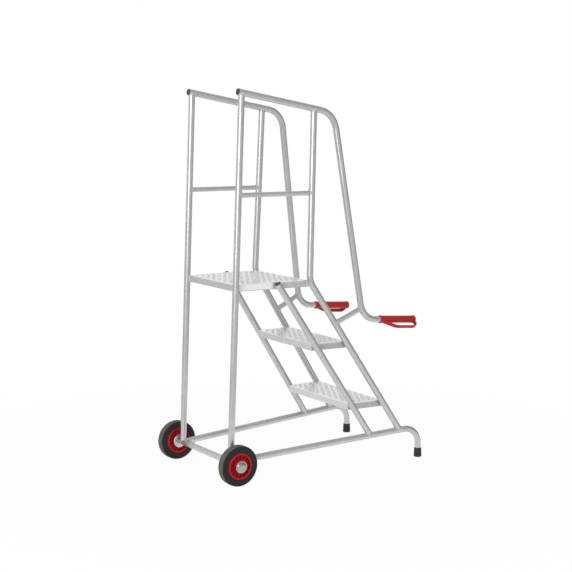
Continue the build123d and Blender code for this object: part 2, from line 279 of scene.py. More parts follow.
def surface(name, grids, finish, body, sharp_deg=50.0):
    """A mesh piece from grids of points, each with its two wrap flags, with poles merged and faces turned
    outwards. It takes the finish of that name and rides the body."""
    points = []
    faces = []
    count = 0
    for grid, wrap_rows, wrap_columns in grids:
        faces.append(grid_faces(grid.shape[0], grid.shape[1], wrap_rows, wrap_columns, count))
        points.append(grid.reshape(-1, 3))
        count += grid.shape[0] * grid.shape[1]
    mesh = bpy.data.meshes.new(name)
    mesh.from_pydata(np.concatenate(points), [], np.concatenate(faces))
    shell = bmesh.new()
    shell.from_mesh(mesh)
    bmesh.ops.remove_doubles(shell, verts=shell.verts, dist=MERGE_DISTANCE)
    bmesh.ops.recalc_face_normals(shell, faces=shell.faces)
    shell.to_mesh(mesh)
    shell.free()
    mesh.polygons.foreach_set("use_smooth", np.ones(len(mesh.polygons), dtype=bool))
    mesh.set_sharp_from_angle(angle=math.radians(sharp_deg))
    mesh.materials.append(finish_named(finish))
    piece = bpy.data.objects.new(name, mesh)
    bpy.context.scene.collection.objects.link(piece)
    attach(piece, body)
    return piece


def full_turn(steps):
    """Evenly spaced angles of one whole turn, without the last."""
    return np.linspace(0, 2 * math.pi, steps, endpoint=False)


def circle(steps, across, third):
    """Directions cos(a) across + sin(a) third for one whole turn."""
    angle = full_turn(steps)[:, None]
    return np.cos(angle) * across + np.sin(angle) * third


def squared_circle(steps, power, width, height):
    """Both coordinates of a flattened round outline: half the width times cos(a) and half the height times
    sin(a), each raised to the power with its sign kept."""
    angle = full_turn(steps)
    cosine = np.cos(angle)
    sine = np.sin(angle)
    return (np.sign(cosine) * np.abs(cosine) ** power * width / 2,
            np.sign(sine) * np.abs(sine) ** power * height / 2)


def lathe(profile, origin, axis, turns):
    """Grid of a surface of revolution: each profile row holds a radius and a distance along the axis, and is
    carried round as origin + distance axis + radius (cos a, sin a) in the plane across the axis."""
    axis = unit(np.asarray(axis, float))
    across = unit(np.cross(axis, X_AXIS if abs(axis[0]) < NEARLY_ALONG else Y_AXIS))
    ring = circle(turns, across, np.cross(axis, across))
    radius, along = np.asarray(profile, float).T
    return origin + along[:, None, None] * axis + radius[:, None, None] * ring[None]


def arc(centre, radius, start_deg, end_deg, steps):
    """Profile points on an arc, by the cosine and sine of evenly spaced angles."""
    angle = np.radians(np.linspace(start_deg, end_deg, steps))
    return np.stack((centre[0] + radius * np.cos(angle), centre[1] + radius * np.sin(angle)), axis=1)


def seam(start, end, branch_r, main_line, main_r, steps, samples=160):
    """Closed line where a straight tube meets another tube, with the directions away from the first tube's
    middle. Rays run along the first tube's skin, and stop where their distance from the other middle line
    falls to its radius, found between two samples by linear interpolation."""
    along = unit(end - start)
    across = unit(np.cross(along, Z_AXIS if abs(along[2]) < NEARLY_ALONG else Y_AXIS))
    outward = circle(steps, across, np.cross(along, across))
    reach = 3 * (main_r + branch_r)
    travel = np.linspace(-reach, main_r, samples)
    rays = end + branch_r * outward[:, None, :] + travel[None, :, None] * along
    near = main_line[np.linalg.norm(main_line - end, axis=1) < 2 * reach]
    gaps = np.linalg.norm(rays[:, :, None, :] - near[None, None], axis=3).min(axis=2) - main_r
    hit = np.maximum(np.argmax(gaps < 0, axis=1), 1)
    pick = np.arange(steps)
    before = gaps[pick, hit - 1]
    after = gaps[pick, hit]
    share = before / (before - after)
    stop = travel[hit - 1] + share * (travel[hit] - travel[hit - 1])
    return end + branch_r * outward + stop[:, None] * along, outward


def bead(path, outward, radius, closed, ripple_length, ring=8):
    """Weld bead: a circle carried along the path. Its radius is r (low + swell |sin|), with one swell for
    each ripple of the weld pool, times a slow wave, and an open bead closes to a point at both ends."""
    low = 0.92
    swell = 0.16
    wave = 0.10
    wave_start = 1.0
    end_power = 12
    if closed:
        tangent = unit(np.roll(path, -1, axis=0) - np.roll(path, 1, axis=0))
    else:
        tangent = unit(np.gradient(path, axis=0))
    side = unit(np.cross(tangent, outward))
    normal = np.cross(side, tangent)
    steps = np.linalg.norm(np.diff(path, axis=0), axis=1)
    length = np.concatenate(((0.0,), np.cumsum(steps)))
    ripples = max(round(length[-1] / ripple_length), 1)
    share = length / length[-1]
    size = radius * (low + swell * np.abs(np.sin(math.pi * ripples * share)))
    size *= 1 + wave * np.sin(4 * math.pi * share + wave_start)
    if not closed:
        size *= np.sqrt(np.clip(1 - np.abs(2 * share - 1) ** end_power, 0, 1))
    offset = circle(ring, normal[:, None], side[:, None])
    return path[:, None] + size[:, None, None] * offset, closed, True


class Wire:
    """A socket of a shader. Sums and products of wires and numbers add Math nodes."""

    def __init__(self, finish, socket):
        self.finish = finish
        self.socket = socket

    def _math(self, operation, first, second):
        return self.finish.add("ShaderNodeMath", {"operation": operation}, {0: first, 1: second})

    def __add__(self, other):
        return self._math("ADD", self, other)

    __radd__ = __add__

    def __sub__(self, other):
        return self._math("SUBTRACT", self, other)

    def __rsub__(self, other):
        return self._math("SUBTRACT", other, self)

    def __mul__(self, other):
        return self._math("MULTIPLY", self, other)

    __rmul__ = __mul__

    def __pow__(self, other):
        return self._math("POWER", self, other)

    def from_whole(self):
        """Distance from the nearest whole number."""
        part = self._math("FRACT", self + 0.5, 0.0) - 0.5
        return part._math("ABSOLUTE", part, 0.0)

    def larger(self, other):
        """The larger of the two."""
        return self._math("MAXIMUM", self, other)

    def steps(self, low, high):
        """Zero at low, one at high, and smooth between."""
        return self.finish.add("ShaderNodeMapRange", {"interpolation_type": "SMOOTHSTEP"},
                               {"Value": self, "From Min": low, "From Max": high})


class Nodes:
    """A node tree under way, and the way to add nodes to it."""

    def __init__(self, tree):
        self.tree = tree
        tree.nodes.clear()

    def add(self, kind, settings=None, inputs=None, output=0):
        """One node of that kind, its settings first, then the values or links of its sockets."""
        node = self.tree.nodes.new(kind)
        for key, value in (settings or {}).items():
            setattr(node, key, value)
        for key, value in (inputs or {}).items():
            if isinstance(value, Wire):
                self.tree.links.new(value.socket, node.inputs[key])
            else:
                node.inputs[key].default_value = value
        return None if output is None else Wire(self, node.outputs[output])

    def rays(self, kind):
        """One for rays of that kind."""
        return self.add("ShaderNodeLightPath", output=f"Is {kind} Ray")

    def seen(self):
        """One for rays that show the surroundings: from the camera, in gloss or through glass."""
        return self.rays("Camera").larger(self.rays("Glossy")).larger(self.rays("Transmission"))


class Finish(Nodes):
    """A procedural material under way, with short methods for what the finishes share."""

    def __init__(self, name):
        self.material = bpy.data.materials.new(name)
        if self.material.name != name:
            raise RuntimeError(f"the packed frame has a material named {name} already")
        self.material.use_nodes = True
        super().__init__(self.material.node_tree)
        self.place = self.add("ShaderNodeTexCoord", output="Object")

    def scaled(self, scale, turn=(0.0, 0.0, 0.0)):
        """Object coordinates turned and scaled along each axis."""
        return self.add("ShaderNodeMapping", None, {"Vector": self.place, "Scale": scale, "Rotation": turn})

    def noise(self, scale, detail=3.0, vector=None, roughness=0.55):
        """Cloudy noise from 0 to 1."""
        return self.add("ShaderNodeTexNoise", None, {"Vector": vector or self.place, "Scale": scale,
                                                     "Detail": detail, "Roughness": roughness})

    def cells(self, scale, vector=None):
        """A random grey for each Voronoi cell."""
        colour = self.add("ShaderNodeTexVoronoi", None, {"Vector": vector or self.place, "Scale": scale},
                          output="Color")
        return self.add("ShaderNodeSeparateColor", None, {"Color": colour})

    def blend(self, share, first, second):
        """Colour between two colours."""
        return self.add("ShaderNodeMix", {"data_type": "RGBA"}, {0: share, 6: first, 7: second}, output=2)

    def spread(self, share, colour, low, high):
        """Colour between a darker and a lighter tone of one colour."""
        return self.blend(share, shade(colour, low), shade(colour, high))

    def part(self, axis):
        """One of the object coordinates: 0 for X, 1 for Y, 2 for Z."""
        return self.add("ShaderNodeSeparateXYZ", None, {0: self.place}, output=axis)

    def bump(self, height, strength, distance):
        """Normal from a height."""
        return self.add("ShaderNodeBump", None,
                        {"Height": height, "Strength": strength, "Distance": distance})

    def close(self, **inputs):
        """Principled shader on the output, with sockets named by words joined with underscores."""
        named = {key.replace("_", " "): value for key, value in inputs.items()}
        shader = self.add("ShaderNodeBsdfPrincipled", None, named)
        self.add("ShaderNodeOutputMaterial", None, {"Surface": shader}, output=None)
        return self.material


def shade(colour, factor):
    """The colour times a factor, with full opacity, as a socket value."""
    return (*[min(channel * factor, 1.0) for channel in colour], 1.0)


def galvanised_finish(name, colour, spangle_scale):
    """Hot-dip zinc: spangle cells with their own tone, dull clouds, and run marks along the height."""
    finish = Finish(name)
    wander_scale = 60.0
    wander_size = (0.006, 0.006, 0.006)
    bright = 1.20
    wander = finish.add("ShaderNodeTexNoise", None, {"Vector": finish.place, "Scale": wander_scale},
                        output="Color")
    bent = finish.add("ShaderNodeVectorMath", {"operation": "MULTIPLY_ADD"},
                      {0: wander, 1: wander_size, 2: finish.place})
    spangle = finish.cells(spangle_scale, bent)
    clouds = finish.noise(scale=7.0, detail=4.0)
    runs = finish.noise(scale=1.0, vector=finish.scaled((110.0, 110.0, 9.0)))
    tone = spangle * 0.10 + clouds * 0.38 + runs * 0.58 - 0.05
    dull = (clouds * 0.6 + runs * 0.4).steps(low=0.52, high=0.68)
    base = finish.spread(tone, colour, low=0.74, high=bright)
    base = finish.blend(dull * 0.30, base, shade(colour, bright))
    return finish.close(Base_Color=base, Metallic=0.75, Roughness=0.28 + dull * 0.08,
                        Normal=finish.bump(clouds, strength=0.03, distance=0.0003))


def tread_finish(name, colour, skirt_shade_tone, front_skirt_x, front_skirt_spared):
    """Galvanised tread sheet: its own tone on top, painted shade on the folded skirts, which are also
    rougher, a front skirt that is spared a share of that painted shade, and scuffs in the sheet. The tops
    lie at whole multiples of the riser height."""
    finish = Finish(name)
    # The front skirt, at the given x: this share of it is spared the painted skirt shade
    toes = (1.0 - finish.part(0).steps(low=front_skirt_x + 0.001, high=front_skirt_x + 0.004)) * front_skirt_spared
    risers = finish.part(2) * (1 / LOWER_TREAD_Z)
    # Painted shade mask: everything further than about 3 mm from a tread top's height, which is the skirts,
    # less the spared front skirt
    skirt = risers.from_whole().steps(low=0.008, high=0.014) * (1.0 - toes)
    spangle = finish.cells(120.0)
    scuffs = finish.noise(scale=1.0, detail=4.0, vector=finish.scaled((30.0, 160.0, 30.0), (0.0, 0.0, 0.35)))
    clouds = finish.noise(scale=11.0, detail=4.0)
    tone = spangle * 0.35 + scuffs * 0.40 + clouds * 0.30 - 0.05
    # The sheet's own tone, as on the tops
    top_tone = finish.spread(tone, colour, low=0.88, high=1.08)
    # Painted shade: the skirts' copy of the sheet tone, darkened by the skirt shade tone
    folded = finish.spread(tone, colour, low=0.82 * skirt_shade_tone, high=1.16 * skirt_shade_tone)
    rough = 0.20 + scuffs * 0.10 + spangle * 0.06 + skirt * 0.08
    grain = finish.bump(scuffs * 0.5 + spangle * 0.3, strength=0.05, distance=0.0003)
    return finish.close(Base_Color=finish.blend(skirt, top_tone, folded), Metallic=0.58, Roughness=rough,
                        Normal=grain)


def weld_finish(name, colour):
    """Zinc over a weld: brighter than the tubes, with soot-grey spots and soft clouds."""
    finish = Finish(name)
    spots = finish.noise(scale=180.0, detail=4.0)
    clouds = finish.noise(scale=24.0)
    base = finish.spread(spots * 0.7 + clouds * 0.3, colour, low=0.72, high=1.18)
    return finish.close(Base_Color=base, Metallic=0.5, Roughness=0.34 + spots * 0.25,
                        Normal=finish.bump(spots, strength=0.25, distance=0.0006))


def plated_finish(name, colour, rough):
    """Bright zinc plate of the least roughness given, with faint turning marks and cloudy wear."""
    finish = Finish(name)
    marks = finish.noise(scale=1.0, vector=finish.scaled((60.0, 900.0, 60.0)))
    clouds = finish.noise(scale=35.0, detail=4.0)
    base = finish.spread(clouds, colour, low=0.75, high=1.20)
    return finish.close(Base_Color=base, Metallic=1.0, Roughness=rough + clouds * 0.08 + marks * 0.06,
                        Normal=finish.bump(marks, strength=0.04, distance=0.0004))


def plastic_finish(name, colour, rough, grain_scale):
    """Moulded plastic of the least roughness given, with flow clouds in the colour, a pebbled skin and pale
    scuffs."""
    finish = Finish(name)
    scuff_colour = (0.75, 0.55, 0.52, 1.0)
    flow = finish.noise(scale=14.0)
    skin = finish.noise(grain_scale, detail=2.0)
    across = finish.scaled((90.0, 220.0, 90.0), (0.3, 0.2, 0.5))
    scuff = finish.noise(scale=1.0, detail=4.0, vector=across).steps(low=0.60, high=0.78)
    base = finish.spread(flow, colour, low=0.84, high=1.14)
    base = finish.blend(scuff * 0.05, base, scuff_colour)
    return finish.close(Base_Color=base, Roughness=rough + skin * 0.10 + scuff * 0.10,
                        Specular_IOR_Level=0.30, Normal=finish.bump(skin, strength=0.03, distance=0.0002))


def tyre_finish(name, colour, dust, outer_r):
    """Tyre rubber: charcoal on the walls, a dusty brown-grey cast on the running face, by distance from the
    axle."""
    finish = Finish(name)
    off_x = finish.part(0) - AXLE_X
    off_z = finish.part(2) - AXLE_Z
    radius = (off_x * off_x + off_z * off_z) ** 0.5
    running = radius.steps(low=outer_r - 0.0035, high=outer_r - 0.0005)
    speck = finish.noise(scale=260.0)
    clouds = finish.noise(scale=26.0, detail=4.0)
    wall = finish.spread(clouds * 0.7 + speck * 0.3, colour, low=0.78, high=1.25)
    base = finish.blend(running * (0.60 + clouds * 0.4), wall, shade(dust, 1.0))
    return finish.close(Base_Color=base, Roughness=0.66 + clouds * 0.16, Specular_IOR_Level=0.12,
                        Normal=finish.bump(speck, strength=0.16, distance=0.0005))


def rubber_finish(name, colour):
    """Soft black rubber with a haze of dust near the floor."""
    finish = Finish(name)
    dust_colour = (0.16, 0.15, 0.14, 1.0)
    speck = finish.noise(scale=300.0)
    clouds = finish.noise(scale=45.0, detail=4.0)
    dusty = (1.0 - finish.part(2).steps(low=0.0, high=0.02)) * clouds
    base = finish.spread(clouds, colour, low=0.75, high=1.35)
    base = finish.blend(dusty * 0.35, base, dust_colour)
    return finish.close(Base_Color=base, Roughness=0.50 + clouds * 0.22, Specular_IOR_Level=0.4,
                        Normal=finish.bump(speck, strength=0.12, distance=0.0004))


def vinyl_finish(name, colour):
    """White vinyl label, slightly yellowed in patches."""
    finish = Finish(name)
    clouds = finish.noise(scale=30.0)
    yellowed = (colour[0], colour[1], colour[2] * 0.97)
    base = finish.blend(clouds, shade(colour, 0.97), shade(yellowed, 1.03))
    return finish.close(Base_Color=base, Roughness=0.26 + clouds * 0.10, Specular_IOR_Level=0.5)


def finish_named(name):
    """A finish that the first operator has made."""
    material = bpy.data.materials.get(name)
    if material is None:
        raise RuntimeError(f"the finish {name} isn't made yet")
    return material


def colour_of(what, note, default):
    """Setting for a colour, as linear light."""
    return FloatVectorProperty(name=what, description=note, subtype="COLOR", default=default, min=0, max=1)


def share_of(what, note, default):
    """Setting for a share from none to all."""
    return FloatProperty(name=what, description=note, subtype="FACTOR", default=default, min=0, max=1)


def length_of(what, note, default, low, high):
    """Setting for a length in metres."""
    return FloatProperty(name=what, description=note, subtype="DISTANCE", default=default, min=low, max=high)


def power_of(what, note, default):
    """Setting for a lamp's power in watts."""
    return FloatProperty(name=what, description=note, subtype="POWER", default=default, min=0)


class StepsFinishes(bpy.types.PropertyGroup):
    """Colours and tones of the finishes."""

    tube: colour_of("Tube zinc", "Zinc on the tubes", (0.61, 0.61, 0.60))
    sheet: colour_of("Tread sheet", "Zinc on platform and treads", (1.0, 1.0, 0.97))
    # Painted shade on the skirts of platform and treads: the share of the top's tone that they are painted
    # at
    skirt_shade_tone: share_of("Skirt tone", "Tone of the skirts beside the tread tops", 0.62)
    # Share of the painted skirt shade that each tread's front skirt is spared, so that it keeps the top's
    # tone
    front_skirt_spared: share_of("Toe wear", "How bright toes have rubbed the dock side of the treads", 0.60)
    weld: colour_of("Weld zinc", "Zinc on the weld beads", (0.66, 0.66, 0.645))
    plate: colour_of("Bright plate", "Axle and hub caps", (0.41, 0.41, 0.41))
    satin: colour_of("Satin plate", "Shields on the inner hub faces", (0.58, 0.58, 0.58))
    wheel_red: colour_of("Wheel red", "Wheel centres", (0.43, 0.006, 0.014))
    grip_red: colour_of("Grip red", "Hand grips", (0.46, 0.016, 0.017))
    tyre: colour_of("Tyre", "Tyre walls", (0.029, 0.0285, 0.028))
    dust: colour_of("Tyre dust", "Running face of the tyres", (0.17, 0.158, 0.138))
    foot: colour_of("Foot", "Rubber feet", (0.020, 0.020, 0.021))
    plug: colour_of("Plug", "Tube plugs", (0.055, 0.055, 0.058))
    label: colour_of("Label", "Blank label", (0.86, 0.86, 0.85))


class StepsDetails(bpy.types.PropertyGroup):
    """Sizes of the added details."""

    bead: length_of("Weld bead", "Radius of the weld beads", 0.0030, 0.001, 0.008)
    ripple: length_of("Weld ripple", "Length of one weld ripple", 0.0034, 0.001, 0.01)
    rim_rise: length_of("Rim rise", "Height of the pressed rims over the sheet", 0.0016, 0, 0.004)
    rim_width: length_of("Rim width", "Foot of the pressed rims beyond the hole", 0.0034, 0.001, 0.006)
    label_length: length_of("Label length", "Length of the blank label", 0.176, 0.05, 0.2)
    label_height: length_of("Label height", "Height of the blank label", 0.026, 0.01, 0.03)
    turns: IntProperty(name="Lathe steps", description="Steps round a turned form", default=72,
                       min=12, max=200)


class StepsStudio(bpy.types.PropertyGroup):
    """Light and floor."""

    key: power_of("Key", "Power of the key lamp", 115.0)
    fill: power_of("Fill", "Power of the fill lamp", 40.0)
    ambient: share_of("Ambient", "Strength of the soft light from all round", 0.50)
    ceiling: share_of("Ceiling", "Brightness of the ceiling beside the walls, in gloss", 0.66)
    room: share_of("Room", "Brightness of the room behind the camera, in gloss", 0.63)
    side: share_of("Side wall", "Brightness of the wall beyond the feet, in gloss", 0.30)
    floor_keep: share_of("Floor shadow", "Share of the floor that is lit by the lamps", 0.05)
    floor: colour_of("Floor", "Colour of the floor", (0.92, 0.92, 0.92))


class STEPS_OT_finishes(bpy.types.Operator):
    """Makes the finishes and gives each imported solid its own"""

    bl_idname = "steps.finishes"
    bl_label = "Finish the solids"

    spangle_scale = 95.0
    # A further painted shade on the treads' skirts, beyond the platform's
    tread_skirt_shade_tone = 0.84
    tubes = ("handrail", "front_post", "rear_post", "base_rail", "front_stringer", "mid_rail", "brace",
             "cross_tube")
    others = {
        "platform": "platform_zinc", "tread_upper": "tread_upper_zinc", "tread_lower": "tread_lower_zinc",
        "axle": "bright_plate", "hub_cap": "bright_plate", "hub_shield": "satin_plate",
        "wheel_centre": "wheel_red", "tyre": "tyre_black", "grip": "grip_red", "foot": "foot_black",
        "rail_plug": "plug_black", "stringer_plug": "plug_black",
    }

    def execute(self, context):
        colours = context.scene.steps_finishes
        galvanised_finish("tube_zinc", colours.tube, self.spangle_scale)
        for node, shape in tray_shapes().items():
            # Painted skirt shade for each tray; the share named wear is how much of it the treads' front
            # skirts are spared
            skirt = colours.skirt_shade_tone
            wear = 0.0
            if node != "platform":
                skirt *= self.tread_skirt_shade_tone
                wear = colours.front_skirt_spared
            tread_finish(f"{node}_zinc", colours.sheet, skirt, AXLE_X + shape[0], wear)
        weld_finish("weld_zinc", colours.weld)
        plated_finish("bright_plate", colours.plate, rough=0.06)
        plated_finish("satin_plate", colours.satin, rough=0.26)
        plastic_finish("wheel_red", colours.wheel_red, rough=0.24, grain_scale=500.0)
        plastic_finish("grip_red", colours.grip_red, rough=0.38, grain_scale=900.0)
        plastic_finish("plug_black", colours.plug, rough=0.42, grain_scale=700.0)
        tyre_finish("tyre_black", colours.tyre, colours.dust, TYRE_R)
        rubber_finish("foot_black", colours.foot)
        vinyl_finish("label_vinyl", colours.label)
        by_node = dict.fromkeys(self.tubes, "tube_zinc") | self.others
        for node, solid in frame["nodes"].items():
            finish = next(name for start, name in by_node.items() if node.startswith(start))
            for holder in solid.material_slots:
                holder.material = finish_named(finish)
        return {"FINISHED"}


class STEPS_OT_welds(bpy.types.Operator):
    """Adds the weld beads where tubes meet tubes and trays"""

    bl_idname = "steps.welds"
    bl_label = "Weld beads"

    line_step = 0.001
    seam_steps = 72
    mitre_size = 0.75
    touch_off = 0.0075
    touch_inset = 0.002
    touch_steps = 20
    corner_fill = 0.004
    corner_inset = 0.001
    corner_size = 2.0

    # Each seam is its points, the way out of them, its share of the bead's size, and whether it closes
    def tube_seams(self, lines):
        """Closed lines round the coped tube ends. A meeting is a branch's start, end and radius, and the
        main tube's line."""
        rail = even_steps(rounded(lines["handrail"], (LEG_BEND_R, HANDLE_BEND_R)), self.line_step)
        rear = even_steps(rounded(lines["rear_post"], (REAR_BEND_R,)), self.line_step)
        base = even_steps(lines["base_rail"], self.line_step)
        post = even_steps(lines["front_post"], self.line_step)
        rear_top, rear_bend, rear_foot = lines["rear_post"]
        mid_front, mid_rear = lines["mid_rail"]
        brace_foot, brace_top = lines["brace"]
        meetings = (
            (*lines["front_post"], TUBE_R, rail),
            (rear_bend, rear_top, TUBE_R, rail),
            (rear_bend, rear_foot, TUBE_R, base),
            (*lines["front_stringer"], TUBE_R, base),
            (mid_rear, mid_front, MID_RAIL_R, post),
            (mid_front, mid_rear, MID_RAIL_R, rear),
            (brace_top, brace_foot, BRACE_R, rear),
            (brace_foot, brace_top, BRACE_R, rail),
        )
        for start, end, branch_r, main in meetings:
            yield *seam(start, end, branch_r, main, TUBE_R, self.seam_steps), 1.0, True

    def corner_seams(self, side):
        """Open lines on the three mitres at the axle corner. Between the tubes that leave along a and b,
        with c the third, the mitre is corner + r cos(t) (a + b) + r sin(t) c, from -135 to 45 degrees."""
        corner = spot(0, side, FRONT_HALF, CORNER_Z)
        inward = -side * Y_AXIS
        angle = np.radians(np.linspace(-135, 45, self.seam_steps // 2))[:, None]
        for a, b, c in ((Z_AXIS, X_AXIS, inward), (X_AXIS, inward, Z_AXIS), (inward, Z_AXIS, X_AXIS)):
            path = corner + TUBE_R * (np.cos(angle) * (a + b) + np.sin(angle) * c)
            outward = unit(np.cos(angle) * (a + b) / math.sqrt(2) + np.sin(angle) * c)
            yield path, outward, self.mitre_size, False

    def tray_seams(self, side, lines):
        """Open lines along a tube, on both sides of where it touches a tray's skirt."""
        stringers = (lines["front_stringer"], lines["rear_post"][1:])
        touching = {
            "platform": (lines["front_post"], lines["rear_post"][:2], lines["front_stringer"]),
            "tread_upper": stringers,
            "tread_lower": stringers,
        }
        for node, (*outline, top_z) in tray_shapes().items():
            front_x, _, rear_x, _ = outline
            for tube in touching[node]:
                lean = abs(unit(tube[1] - tube[0])[2])
                low = top_z - SKIRT + self.touch_inset
                high = min(top_z - self.touch_inset, tube[:, 2].max())
                line = at_height(*tube, np.linspace(low, high, self.touch_steps)[:, None])
                for way in (-1, 1):
                    x = line[:, 0] - AXLE_X + way * self.touch_off / lean
                    if x.min() < front_x or x.max() > rear_x:
                        continue
                    y = side * (tray_half(x, *outline) + JOINT_GAP)
                    yield np.stack((AXLE_X + x, y, line[:, 2]), axis=1), side * Y_AXIS, 1.0, False

    def corner_fills(self, side):
        """Open upright lines in the corners between the platform's ends and the posts."""
        front_x, front_half, rear_x, rear_half, top_z = tray_shapes()["platform"]
        for x, half in ((front_x, front_half), (rear_x + self.corner_fill, rear_half)):
            low = spot(x, side, half, top_z - SKIRT + self.corner_inset)
            high = spot(x, side, half, top_z - self.corner_inset)
            yield np.linspace(low, high, self.seam_steps // 3), side * Y_AXIS, self.corner_size, False

    def execute(self, context):
        details = context.scene.steps_details
        for word, side in SIDES:
            lines = tube_corners(side)
            seams = (*self.tube_seams(lines), *self.corner_fills(side), *self.corner_seams(side),
                     *self.tray_seams(side, lines))
            beads = [bead(path, outward, size * details.bead, closed, details.ripple)
                     for path, outward, size, closed in seams]
            surface(f"weld_beads_{word}", beads, "weld_zinc", FRAME_BODY)
        return {"FINISHED"}


class STEPS_OT_tread_rims(bpy.types.Operator):
    """Adds the pressed rims round the punchings of the platform and treads"""

    bl_idname = "steps.tread_rims"
    bl_label = "Tread rims"

    sides = 12
    punch_sides = 8
    row_turn = math.radians(60)
    slack = 1e-6
    crest_off = 0.0008
    inner_share = 0.85
    foot_sink = 0.0002
    overlap = 0.0003
    depth = 0.0030

    def spots(self, front_x, front_half, rear_x, rear_half):
        """Middles of the punchings: staggered rows along X, whole holes only, centred on the sheet."""
        keep = PUNCH_MARGIN + PUNCH_R - self.slack
        row_y = PUNCH_PITCH * math.sin(self.row_turn)
        rows = int(rear_half / row_y) + 1
        columns = int((rear_x - front_x) / PUNCH_PITCH)
        row = np.arange(-rows, rows + 1)[:, None]
        column = np.arange(-columns, columns + 1)
        x = (front_x + rear_x) / 2 + (column + (row % 2) / 2) * PUNCH_PITCH
        y = np.broadcast_to(row * row_y, x.shape)
        half = tray_half(x, front_x, front_half, rear_x, rear_half)
        whole = (x >= front_x + keep) & (x <= rear_x - keep) & (np.abs(y) <= half - keep)
        return x[whole], y[whole]

    def execute(self, context):
        details = context.scene.steps_details
        inner = PUNCH_R * math.cos(math.pi / self.punch_sides) - self.overlap
        profile = ((PUNCH_R + details.rim_width, -self.foot_sink),
                   (PUNCH_R + self.crest_off, details.rim_rise),
                   (inner, details.rim_rise * self.inner_share), (inner, -self.depth))
        ring = lathe(profile, np.zeros(3), Z_AXIS, self.sides)
        for node, (*outline, top_z) in tray_shapes().items():
            x, y = self.spots(*outline)
            middles = np.stack((AXLE_X + x, y, np.full_like(x, top_z)), axis=1)
            rims = [(ring + middle, False, True) for middle in middles]
            surface(f"{node}_rims", rims, f"{node}_zinc", FRAME_BODY, sharp_deg=70)
        return {"FINISHED"}


